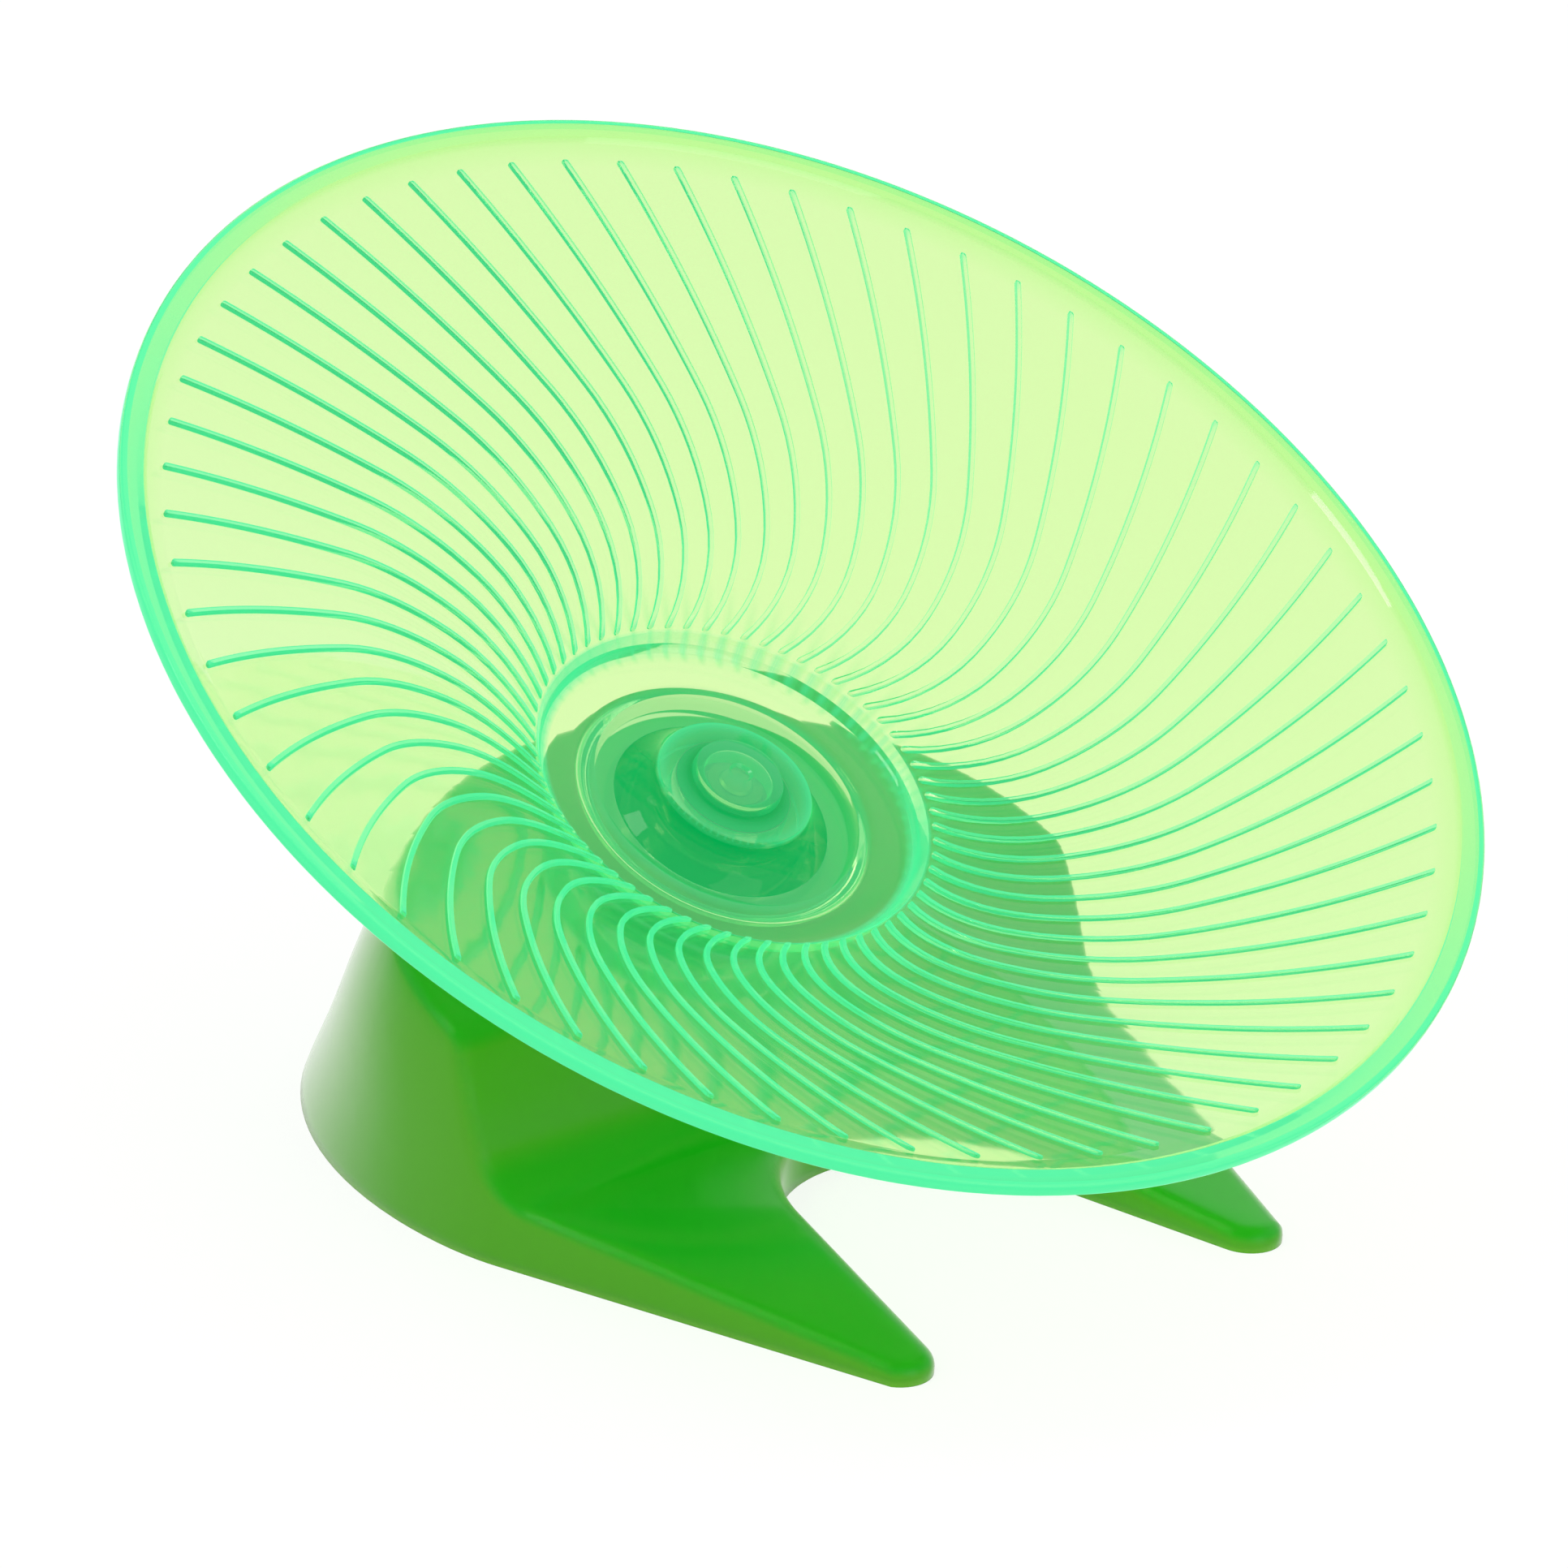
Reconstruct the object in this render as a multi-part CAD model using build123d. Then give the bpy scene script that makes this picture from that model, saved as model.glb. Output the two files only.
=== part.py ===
from build123d import *
import math
import os

# Flying saucer wheel: a tilted, ribbed running dish that spins on a stand with two front feet.
# Frame: +Z up, origin on the floor below the middle of the whole wheel. The dish leans towards -Y,
# where the feet are. Its hub axis lies in the YZ plane. All lengths are in millimetres.

# Dish
dish_tilt = 28.0
rib_plane_height = 75.6
rib_end_radius = 89.3
rib_start_radius = 28.0
cone_depth = 30.7
dish_wall = 1.9

# Rim of the dish, outwards and upwards from the rib ends
rim_radius = 95.2
rim_thickness = 1.9
rim_ledge_start = 2.7
rim_step_start = 2.0
rim_rise = 2.2
rim_ledge_rise = 1.7
rim_step_rise = 1.0
rim_root_width = 2.4
rim_rounding = 0.5

# Ribs of the running surface, each a chain of arcs from its outer end inwards
rib_count = 64
rib_width = 0.9
rib_height = 0.5
rib_sink = 0.4
rib_outer_lean = 32.06
rib_outer_run = 33.0
rib_outer_bend = 143.3
rib_middle_run = 18.4
rib_middle_bend = 37.8
rib_inner_run = 15.8
rib_inner_bend = 20.0
rib_phase_angle = 77.64
rib_end_gap = 0.25

# Hub of the dish
hub_step = 2.7
hub_floor_radius = 27.3
moat_radius = 18.8
moat_depth = 2.7
moat_rounding = 1.2
turret_foot_radius = 15.3
turret_radius = 10.95
turret_height = 3.2
turret_flare = 0.9
turret_rounding = 0.5
crown_radius = 6.35
crown_height = 1.8
crown_rounding = 0.4
hub_rounding = 0.8
turret_roof = 2.0
socket_wall = 1.8
socket_skirt = 1.0

# Miniature ball bearing
bearing_outer_radius = 8.0
bearing_bore_radius = 2.5
bearing_width = 5.0
ball_radius = 1.5875
ball_count = 7
ball_circle_radius = 5.25
inner_ring_radius = 4.2
outer_ring_inner_radius = 6.3
shield_thickness = 0.25
shield_inset = 0.15
shield_bite = 0.4
shield_gap = 0.15
cage_thickness = 0.25
cage_inner_radius = 4.8
cage_outer_radius = 5.7
rivet_radius = 0.22
rivet_head_radius = 0.38
rivet_head_height = 0.15

# Axle and its small parts
axle_depth = 15.0
axle_chamfer = 0.3
axle_end_gap = 0.6
spacer_radius = 3.6
washer_radius = 3.9
washer_thickness = 0.5
clip_radius = 3.9
clip_thickness = 0.6
clip_groove_depth = 0.5
clip_mouth_width = 3.2
retainer_inner_radius = 6.4
retainer_thickness = 1.2
crown_cavity_radius = 4.8
crown_cavity_height = 2.2

# Fits
press_gap = 0.01
running_gap = 0.04
slip_gap = 0.05
cage_gap = 0.05
hub_gap = 1.0

# Stand, seen from above
stand_half_width = 56.4
stand_rear_reach = 63.0
stand_rear_centre = 11.6
foot_tip_radius = 4.8
foot_tip_lap = 0.3
foot_tip_half_span = 31.5
foot_tip_reach = 56.0
leg_angle = 19.0
hip_share = 0.75
arch_wall_angle = 12.0
arch_crown_reach = 8.3

# Stand, seen from the side
apron_slope = 6.7
apron_height = 9.65
tower_foot_reach = 2.0
tower_brow_reach = 5.0
tower_sweep_radius = 9.0
brow_radius = 5.0
crease_radius = 2.0
hood_slope = 19.1
hood_front_height = 27.5
skirt_height = 50.0
# Share of the skirt's height, and shares of the half width and of the rear reach at that height
skirt_section_shares = (
    (0.0, 1.0, 1.0),
    (0.1, 0.999, 0.95),
    (0.2, 0.997, 0.897),
    (0.4, 0.991, 0.8),
    (0.6, 0.964, 0.713),
    (0.8, 0.893, 0.634),
    (1.0, 0.787, 0.566),
)

# Post on the hood, which carries the axle
post_radius = 7.0
post_foot_radius = 10.5
post_height = 9.0

# Stand, inside
stand_wall = 2.2
boss_radius = 5.6
boss_depth = 17.0
gusset_thickness = 1.6
gusset_reach = 24.0
gusset_depth = 15.0

# One overrun serves all cuts
overrun = 5.0

# Places along the hub axis, from the rib-end plane
rim_top = rim_rise
rim_bottom = rim_top - rim_thickness
cone_foot = -cone_depth
hub_floor = cone_foot - hub_step
moat_floor = hub_floor - moat_depth
turret_top = hub_floor + turret_height
crown_top = turret_top + crown_height
bearing_top = turret_top - turret_roof
bearing_bottom = bearing_top - bearing_width
bearing_middle = (bearing_top + bearing_bottom) / 2
cavity_top = bearing_top + crown_cavity_height
socket_end = moat_floor - dish_wall - socket_skirt
post_top = socket_end - hub_gap
axle_top = cavity_top - axle_end_gap
axle_bottom = post_top - axle_depth

# The origin is below the middle of the rim, so the hub axis meets the rib-end plane a little back of it
dish_reach = math.sin(math.radians(dish_tilt)) * (rim_top + rim_bottom) / 2
hub_frame = Pos(0, dish_reach, rib_plane_height) * Rot(dish_tilt, 0, 0)
stand_frame = Pos(0, dish_reach, 0)


def disc(radius, bottom, top):
    """Solid cylinder about the hub axis between two places along it."""
    return Pos(0, 0, bottom) * Cylinder(radius, top - bottom, align=(Align.CENTER, Align.CENTER, Align.MIN))


def tube(outer_radius, inner_radius, bottom, top):
    """Round tube about the hub axis between two places along it."""
    return disc(outer_radius, bottom, top) - disc(inner_radius, bottom - overrun, top + overrun)


def rounded(face, corners, radius):
    """Round the corners of a flat section that lie nearest to the given points."""
    picked = [min(face.vertices(), key=lambda v: (v.center() - Vector(*corner)).length) for corner in corners]
    return fillet(picked, radius)


def section(x, z):
    """Point of a turned section: distance from the hub axis, place along it."""
    return (x, 0, z)


def running_surface(lift):
    """Line of the running surface, lifted along the hub axis."""
    return Line(section(rib_start_radius, cone_foot + lift), section(rib_end_radius, lift))


def dish_shell():
    """The dish without ribs: rim, cone, hub floor, moat, turret, crown and bearing socket."""
    cone_angle = math.atan2(cone_depth, rib_end_radius - rib_start_radius)
    drop = dish_wall / math.cos(cone_angle)
    socket_radius = bearing_outer_radius + socket_wall
    top_line = Polyline(
        section(rib_end_radius, 0),
        section(rib_end_radius + rim_step_start, rim_step_rise),
        section(rib_end_radius + rim_ledge_start, rim_ledge_rise),
        section(rim_radius, rim_top),
        section(rim_radius, rim_bottom),
        section(rim_radius - rim_root_width, rim_bottom - rim_step_rise / 2),
        section(rib_end_radius, -drop),
    )
    under_cone = running_surface(-drop)
    under_hub = Polyline(
        section(rib_start_radius, cone_foot - drop),
        section(hub_floor_radius + dish_wall / 2, hub_floor - dish_wall),
        section(moat_radius + dish_wall, hub_floor - dish_wall),
        section(moat_radius + dish_wall / 2, moat_floor - dish_wall),
        section(socket_radius, moat_floor - dish_wall),
        section(socket_radius, socket_end),
        section(bearing_outer_radius + press_gap, socket_end),
        section(bearing_outer_radius + press_gap, bearing_top),
        section(crown_cavity_radius, bearing_top),
        section(crown_cavity_radius, cavity_top),
        section(0, cavity_top),
        section(0, crown_top),
        section(crown_radius, crown_top),
        section(crown_radius, turret_top),
        section(turret_radius, turret_top),
    )
    flank_middle = (turret_top + moat_floor) / 2
    flank = ThreePointArc(
        section(turret_radius, turret_top),
        section((turret_radius + turret_foot_radius) / 2 - turret_flare, flank_middle),
        section(turret_foot_radius, moat_floor),
    )
    hub_line = Polyline(
        section(turret_foot_radius, moat_floor),
        section(moat_radius, moat_floor),
        section(moat_radius, hub_floor),
        section(hub_floor_radius, hub_floor),
        section(rib_start_radius, cone_foot),
    )
    face = make_face([top_line, under_cone, under_hub, flank, hub_line, running_surface(0)])
    face = rounded(face, [section(moat_radius, moat_floor)], moat_rounding)
    face = rounded(face, [section(moat_radius, hub_floor), section(hub_floor_radius, hub_floor)], hub_rounding)
    face = rounded(face, [section(turret_radius, turret_top)], turret_rounding)
    face = rounded(face, [section(crown_radius, crown_top)], crown_rounding)
    face = rounded(face, [section(rim_radius, rim_top), section(rim_radius, rim_bottom)], rim_rounding)
    return revolve(face, Axis.Z)


def rib_path():
    """Path of one rib seen along the hub axis, from its outer to its inner end."""
    start = Vector(rib_end_radius - rib_width / 2 - rib_end_gap, 0)
    heading = Vector(-1, 0).rotate(Axis.Z, rib_outer_lean)
    runs = (
        (rib_outer_run, rib_outer_bend),
        (rib_middle_run, rib_middle_bend),
        (rib_inner_run, rib_inner_bend),
    )
    arcs = []
    for run, bend in runs:
        arc = JernArc(start, heading, bend, -math.degrees(run / bend))
        arcs.append(arc)
        start = arc @ 1
        heading = arc % 1
    return Wire(arcs)


def ribs():
    """All ribs as one group: slender blades along the paths, kept inside a thin layer on the dish."""
    top_line = running_surface(rib_height)
    sunk_line = running_surface(-rib_sink)
    sides = [Line(top_line @ end, sunk_line @ end) for end in (0, 1)]
    layer = revolve(make_face([top_line, sunk_line] + sides), Axis.Z)
    blade_plan = make_face(offset(rib_path(), rib_width / 2, side=Side.BOTH).edges())
    blade = extrude(blade_plan, cone_depth + overrun, dir=(0, 0, 1))
    one_rib = (Pos(0, 0, -cone_depth - rib_sink) * Rot(0, 0, rib_phase_angle) * blade) & layer
    return [Rot(0, 0, turn * 360 / rib_count) * one_rib for turn in range(rib_count)]


def make_saucer():
    """The whole translucent moulding."""
    return hub_frame * (dish_shell() + ribs())


def make_outer_ring():
    """Outer ring of the bearing, with the ball track and the shield grooves."""
    ring = tube(bearing_outer_radius, outer_ring_inner_radius, bearing_bottom, bearing_top)
    track = Pos(0, 0, bearing_middle) * Torus(ball_circle_radius, ball_radius + running_gap)
    groove_radius = outer_ring_inner_radius + shield_bite + press_gap
    grooves = [disc(groove_radius, low - press_gap, low + shield_thickness + press_gap) for low in shield_places()]
    return hub_frame * (ring - track - grooves)


def shield_places():
    """Lower faces of the two shields."""
    return (bearing_bottom + shield_inset, bearing_top - shield_inset - shield_thickness)


def make_shield(low):
    """Thin ring that closes one side of the bearing and runs free of the inner ring."""
    outer_radius = outer_ring_inner_radius + shield_bite
    return hub_frame * tube(outer_radius, inner_ring_radius + shield_gap, low, low + shield_thickness)


def make_inner_ring():
    """Inner ring of the bearing, with the ball track."""
    ring = tube(inner_ring_radius, bearing_bore_radius + press_gap, bearing_bottom, bearing_top)
    track = Pos(0, 0, bearing_middle) * Torus(ball_circle_radius, ball_radius + running_gap)
    return hub_frame * (ring - track)


def ball_places(shift):
    """Places on the ball circle, with a shift in steps from ball to ball."""
    step = 360 / ball_count
    return [Pos(0, 0, bearing_middle) * Rot(0, 0, (turn + shift) * step) * Pos(ball_circle_radius, 0, 0)
            for turn in range(ball_count)]


def make_balls():
    """The ball set."""
    return [hub_frame * place * Sphere(ball_radius) for place in ball_places(0)]


def make_cage(side):
    """One pressed half of the ball cage: a flat ring with a dome over each ball."""
    low, high = sorted((0, side * cage_thickness))
    ring = tube(cage_outer_radius, cage_inner_radius, bearing_middle + low, bearing_middle + high)
    dome_radius = ball_radius + cage_gap + cage_thickness
    low, high = sorted((0, side * dome_radius))
    band = tube(cage_outer_radius, cage_inner_radius, bearing_middle + low, bearing_middle + high)
    domes = [place * Sphere(dome_radius) & band for place in ball_places(0)]
    pockets = [place * Sphere(ball_radius + cage_gap) for place in ball_places(0)]
    holes = [place * Cylinder(rivet_radius + press_gap, overrun) for place in ball_places(1 / 2)]
    return hub_frame * (ring + domes - pockets - holes)


def make_rivets():
    """Rivets between the balls, each with a head on both sides of the cage."""
    rivets = []
    for place in ball_places(1 / 2):
        shank = Cylinder(rivet_radius, 2 * cage_thickness)
        reach = cage_thickness + rivet_head_height / 2
        heads = [Pos(0, 0, side * reach) * Cylinder(rivet_head_radius, rivet_head_height) for side in (-1, 1)]
        rivets.append(hub_frame * place * (shank + heads))
    return rivets


def make_retainer():
    """Ring pressed into the socket, which holds the bearing up against the turret's roof."""
    return hub_frame * tube(
        bearing_outer_radius, retainer_inner_radius, bearing_bottom - retainer_thickness, bearing_bottom
    )


def make_axle_pin():
    """Steel pin with a clip groove below its upper end."""
    pin = disc(bearing_bore_radius, axle_bottom, axle_top)
    pin = chamfer(pin.edges().filter_by(GeomType.CIRCLE), axle_chamfer)
    clip_low = bearing_top + washer_thickness
    groove = tube(
        bearing_bore_radius + overrun,
        bearing_bore_radius - clip_groove_depth,
        clip_low - press_gap,
        clip_low + clip_thickness + press_gap,
    )
    return hub_frame * (pin - groove)


def make_spacer():
    """Sleeve between the post and the bearing's inner ring."""
    return hub_frame * tube(spacer_radius, bearing_bore_radius + slip_gap, post_top, bearing_bottom)


def make_washer():
    """Flat washer on the inner ring."""
    return hub_frame * tube(
        washer_radius, bearing_bore_radius + slip_gap, bearing_top, bearing_top + washer_thickness
    )


def make_clip():
    """Open spring clip in the pin's groove."""
    low = bearing_top + washer_thickness
    inner_radius = bearing_bore_radius - clip_groove_depth + press_gap
    ring = tube(clip_radius, inner_radius, low, low + clip_thickness)
    mouth = Pos(0, 0, low) * Box(
        clip_radius + overrun, clip_mouth_width, overrun, align=(Align.MIN, Align.CENTER, Align.CENTER)
    )
    return hub_frame * (ring - mouth)


def beside(angle, reach):
    """Point at a distance from the middle of the right foot's tip, turned outwards from straight back."""
    tip_centre = Vector(foot_tip_half_span, -foot_tip_reach)
    return tip_centre + Vector(0, reach).rotate(Axis.Z, -angle)


def leg_line_at(inset, width):
    """Point of the right leg's outer line at a half width, both drawn in by an inset."""
    touch = beside(leg_angle + 90, foot_tip_radius - foot_tip_lap - inset)
    return Vector(width, touch.Y + (width - touch.X) / math.tan(math.radians(leg_angle)))


def skirt_section(inset, height, width_share, depth_share):
    """Closed level outline of the stand's outer wall without the arch."""
    half_width = stand_half_width * width_share - inset
    reach = stand_rear_reach * depth_share - inset
    narrowing = stand_half_width * (1 - width_share)
    corner = leg_line_at(inset, half_width + narrowing) - Vector(narrowing, 0)
    bend = stand_rear_centre - corner.Y
    leg_direction = Vector(0, -1).rotate(Axis.Z, -leg_angle)
    shoulder = corner + leg_direction * bend * hip_share
    front = corner + leg_direction * (foot_tip_reach + 2 * foot_tip_radius + overrun)
    side = [
        Bezier((half_width, stand_rear_centre), corner, shoulder),
        Line(shoulder, front),
    ]
    mirrored = [edge.mirror(Plane.YZ) for edge in side]
    rear = EllipticalCenterArc((0, stand_rear_centre), half_width, reach, arc_size=180)
    closing = Line(front, Vector(-front.X, front.Y))
    return Pos(0, 0, height) * make_face([rear, closing] + side + mirrored)


def skirt(inset):
    """Outer wall of the stand as a filled body that leans in towards the hood."""
    sections = [
        skirt_section(inset, skirt_height * height_share, width_share, depth_share)
        for height_share, width_share, depth_share in skirt_section_shares
    ]
    return loft(sections)


def side_view(inset):
    """Filled side view of the stand, as wide as the stand: aprons, tower front and tilted hood."""
    apron_rise = math.tan(math.radians(apron_slope))
    hood_rise = math.tan(math.radians(hood_slope))
    far = 2 * stand_rear_reach
    foot = (-tower_foot_reach, apron_height - apron_rise * tower_foot_reach)
    brow = (tower_brow_reach, hood_front_height + hood_rise * tower_brow_reach)
    outline = Polyline(
        (-far, -far), (-far, apron_height - apron_rise * far), foot, brow,
        (far, hood_front_height + hood_rise * far), (far, -far), close=True,
    )
    face = rounded(make_face(outline), [foot], tower_sweep_radius)
    face = rounded(face, [brow], brow_radius)
    if inset:
        face = offset(face, -inset)
    return extrude(Plane.YZ * face, far, both=True)


def front_cutter(inset):
    """Space in front of the stand: round the foot tips and through the arch between the legs."""
    tip = foot_tip_radius - inset
    outer_touch = beside(leg_angle + 90, tip)
    inner_touch = beside(-arch_wall_angle - 90, tip)
    nose = beside(180, tip)
    wall_normal = Vector(1, 0).rotate(Axis.Z, arch_wall_angle)
    plain_touch = beside(-arch_wall_angle - 90, foot_tip_radius)
    share = wall_normal.Y
    arch_radius = (plain_touch.dot(wall_normal) + arch_crown_reach * share) / (1 - share)
    arch_centre = Vector(0, -arch_crown_reach - arch_radius)
    arch_radius = arch_radius + inset
    wall_top = arch_centre + wall_normal * arch_radius
    crown = arch_centre + Vector(0, arch_radius)
    outside = beside(leg_angle + 90, 2 * stand_half_width)
    right = [
        Line(outside, outer_touch),
        ThreePointArc(outer_touch, nose, inner_touch),
        Line(inner_touch, wall_top),
    ]
    left = [edge.mirror(Plane.YZ) for edge in right]
    arch = ThreePointArc(wall_top, crown, Vector(-wall_top.X, wall_top.Y))
    far = Vector(outside.X, outside.Y - stand_rear_reach)
    frame = Polyline(outside, far, Vector(-far.X, far.Y), Vector(-outside.X, outside.Y))
    plan = make_face([arch, frame] + right + left)
    return Pos(0, 0, -overrun) * extrude(plan, skirt_height + 2 * overrun, dir=(0, 0, 1))


def stand_volume(inset):
    """The stand as if filled, drawn in by an inset."""
    return (skirt(inset) & side_view(inset)) - front_cutter(inset)


def is_crease(edge):
    """True for an edge between the stand's top and its walls, and not for a straight fold across its top."""
    box = edge.bounding_box()
    across = edge.geom_type == GeomType.LINE and box.size.X > stand_half_width
    return box.min.Z > crease_radius / 2 and not across


def make_stand():
    """The opaque moulding: a hollow shell with the post on it, and the axle boss and its gussets inside."""
    outer = stand_volume(0)
    outer = fillet([edge for edge in outer.edges() if is_crease(edge)], crease_radius)
    shell = stand_frame * (outer - stand_volume(stand_wall))
    post = hub_frame * Pos(0, 0, post_top - post_height) * Cone(
        post_foot_radius, post_radius, post_height, align=(Align.CENTER, Align.CENTER, Align.MIN)
    )
    boss = hub_frame * disc(boss_radius, post_top - boss_depth, post_top - post_height / 2)
    middle = post_top - gusset_depth / 2
    gussets = [
        hub_frame * Pos(0, 0, middle) * Rot(0, 0, turn) * Box(2 * gusset_reach, gusset_thickness, gusset_depth)
        for turn in (0, 90)
    ]
    inner_works = stand_frame * stand_volume(stand_wall / 2) & (boss + gussets)
    hole = hub_frame * disc(bearing_bore_radius + press_gap, axle_bottom - press_gap, post_top + overrun)
    return shell + inner_works + post - hole


def save(name, shape):
    """Write one piece to its own file."""
    solids = shape if isinstance(shape, list) else [shape]
    body = solids[0] if len(solids) == 1 else Compound(children=solids)
    export_step(body, f"parts/{name}.step")


if __name__ == "__main__":
    os.makedirs("parts", exist_ok=True)
    lower_shield, upper_shield = shield_places()
    save("saucer", make_saucer())
    save("stand", make_stand())
    save("axle_pin", make_axle_pin())
    save("axle_spacer", make_spacer())
    save("axle_washer", make_washer())
    save("axle_clip", make_clip())
    save("bearing_outer_ring", make_outer_ring())
    save("bearing_inner_ring", make_inner_ring())
    save("bearing_balls", make_balls())
    save("bearing_cage_upper", make_cage(1))
    save("bearing_cage_lower", make_cage(-1))
    save("bearing_cage_rivets", make_rivets())
    save("bearing_shield_upper", make_shield(upper_shield))
    save("bearing_shield_lower", make_shield(lower_shield))
    save("bearing_retainer", make_retainer())
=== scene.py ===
import logging
import math
from dataclasses import dataclass
from enum import Enum

import bmesh
import bpy
from mathutils import Matrix, Vector


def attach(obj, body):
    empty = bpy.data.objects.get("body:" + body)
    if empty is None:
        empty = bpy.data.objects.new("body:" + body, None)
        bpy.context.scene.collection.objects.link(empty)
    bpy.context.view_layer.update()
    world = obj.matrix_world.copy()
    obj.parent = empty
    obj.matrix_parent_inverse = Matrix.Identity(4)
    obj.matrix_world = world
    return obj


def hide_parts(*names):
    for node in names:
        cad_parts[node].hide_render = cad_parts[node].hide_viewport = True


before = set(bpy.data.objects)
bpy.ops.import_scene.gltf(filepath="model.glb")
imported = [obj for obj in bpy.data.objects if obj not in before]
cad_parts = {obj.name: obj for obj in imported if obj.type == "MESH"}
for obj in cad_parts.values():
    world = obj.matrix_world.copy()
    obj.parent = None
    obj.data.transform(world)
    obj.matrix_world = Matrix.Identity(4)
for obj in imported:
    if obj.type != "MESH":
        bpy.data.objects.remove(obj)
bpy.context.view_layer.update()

MM = 0.001
LOG = logging.getLogger("flying_saucer_wheel")

Point = tuple[float, float]
Colour = tuple[float, float, float, float]
WHITE = (1, 1, 1, 1)
BLACK = (0, 0, 0, 1)


class Slot(Enum):
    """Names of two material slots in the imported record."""

    DISH = "dish_plastic"
    STAND = "stand_plastic"


class Body(Enum):
    """Moving groups that carry the scene's own pieces."""

    STAND = "stand_body"
    SAUCER = "saucer_body"


class Mark(Enum):
    """Numbers stored on the dish's mesh, which its finish reads."""

    EDGE = "edge"
    HUB = "hub"
    RIM = "rim"
    WALL = "wall"


class Value:
    """A number that varies over a surface. Arithmetic on it adds Math nodes."""

    def __init__(self, bench: "Bench", socket: bpy.types.NodeSocket) -> None:
        """Keep the bench and the output socket that carries the number."""
        self.bench = bench
        self.socket = socket

    def _math(self, operation: str, first: "Value | float", second: "Value | float") -> "Value":
        """Add one Math node.

        Args:
            operation: The Math node's operation.
            first: Upper input.
            second: Lower input.

        Returns:
            The node's result.
        """
        return self.bench.node("ShaderNodeMath", {"operation": operation}, {0: first, 1: second})

    def __add__(self, other: "Value | float") -> "Value":
        """Sum."""
        return self._math("ADD", self, other)

    def __radd__(self, other: float) -> "Value":
        """Sum with a plain number first."""
        return self._math("ADD", other, self)

    def __sub__(self, other: "Value | float") -> "Value":
        """Difference."""
        return self._math("SUBTRACT", self, other)

    def __rsub__(self, other: float) -> "Value":
        """Difference with a plain number first."""
        return self._math("SUBTRACT", other, self)

    def __mul__(self, other: "Value | float") -> "Value":
        """Product."""
        return self._math("MULTIPLY", self, other)

    def __rmul__(self, other: float) -> "Value":
        """Product with a plain number first."""
        return self._math("MULTIPLY", other, self)

    def either(self, other: "Value") -> "Value":
        """The larger of two numbers."""
        return self._math("MAXIMUM", self, other)


class Bench:
    """Builds the node tree of one material or world."""

    def __init__(self, tree: bpy.types.NodeTree) -> None:
        """Start with an empty tree."""
        self.tree = tree
        tree.nodes.clear()

    def node(self, kind: str, settings: dict, inputs: dict, output: int | str = 0) -> Value:
        """Add one node.

        Args:
            kind: The node's type.
            settings: Properties, set first.
            inputs: Values or links, by the socket's name or number.
            output: The output to return.

        Returns:
            The chosen output.
        """
        made = self.tree.nodes.new(kind)
        for name, value in settings.items():
            setattr(made, name, value)
        for name, value in inputs.items():
            if isinstance(value, Value):
                self.tree.links.new(value.socket, made.inputs[name])
            else:
                made.inputs[name].default_value = value
        return Value(self, made.outputs[output])

    def mix(self, share: Value | float, first: Value | Colour, second: Value | Colour) -> Value:
        """Blend two colours.

        Args:
            share: Share of the second colour.
            first: Colour at share 0.
            second: Colour at share 1.

        Returns:
            The blended colour.
        """
        settings = {"data_type": "RGBA", "clamp_factor": True}
        return self.node("ShaderNodeMix", settings, {0: share, 6: first, 7: second}, output=2)

    def noise(self, place: Value, scale: float, detail: float) -> Value:
        """Soft noise between 0 and 1 at a place on the surface."""
        inputs = {"Vector": place, "Scale": scale, "Detail": detail}
        return self.node("ShaderNodeTexNoise", {}, inputs)

    def place(self) -> Value:
        """Place on the piece, in metres."""
        return self.node("ShaderNodeTexCoord", {}, {}, output="Object")

    def mark(self, name: Mark) -> Value:
        """A number stored on the piece's own mesh."""
        return self.node("ShaderNodeAttribute", {"attribute_name": name.value}, {}, output="Fac")

    def upward(self, vector: Value) -> Value:
        """A vector's upward part."""
        return self.node("ShaderNodeSeparateXYZ", {}, {"Vector": vector}, output="Z")

    def slant(self) -> Value:
        """How far the surface turns away from the ray that meets it, from 0 to 1."""
        return self.node("ShaderNodeLayerWeight", {}, {"Blend": 0.5}, output="Facing")

    def smooth_step(self, value: Value, low: float, high: float) -> Value:
        """Map a number smoothly from between low and high to between 0 and 1.

        Args:
            value: The number.
            low: Where the result is 0.
            high: Where the result is 1.

        Returns:
            The mapped number.
        """
        settings = {"interpolation_type": "SMOOTHSTEP"}
        inputs = {"Value": value, "From Min": low, "From Max": high}
        return self.node("ShaderNodeMapRange", settings, inputs)

    def bump(self, height: Value, strength: float, distance: float,
             base: Value | None = None) -> Value:
        """Tilt the surface's normal by a height.

        Args:
            height: The height.
            strength: Share of the tilt that is used.
            distance: Height in metres that 1 stands for.
            base: Normal to start from, if not the surface's own.

        Returns:
            The tilted normal.
        """
        inputs = {"Height": height, "Strength": strength, "Distance": distance}
        if base:
            inputs["Normal"] = base
        return self.node("ShaderNodeBump", {}, inputs)


def new_material(name: str) -> tuple[bpy.types.Material, Bench]:
    """Create an empty node material.

    Args:
        name: The material's name.

    Returns:
        The material and the bench that fills it.
    """
    material = bpy.data.materials.new(name)
    material.use_nodes = True
    return material, Bench(material.node_tree)


def finish_tree(bench: Bench, shader: Value, kind: str = "ShaderNodeOutputMaterial") -> None:
    """Join a shader to the tree's output."""
    out = bench.tree.nodes.new(kind)
    bench.tree.links.new(shader.socket, out.inputs["Surface"])


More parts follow.
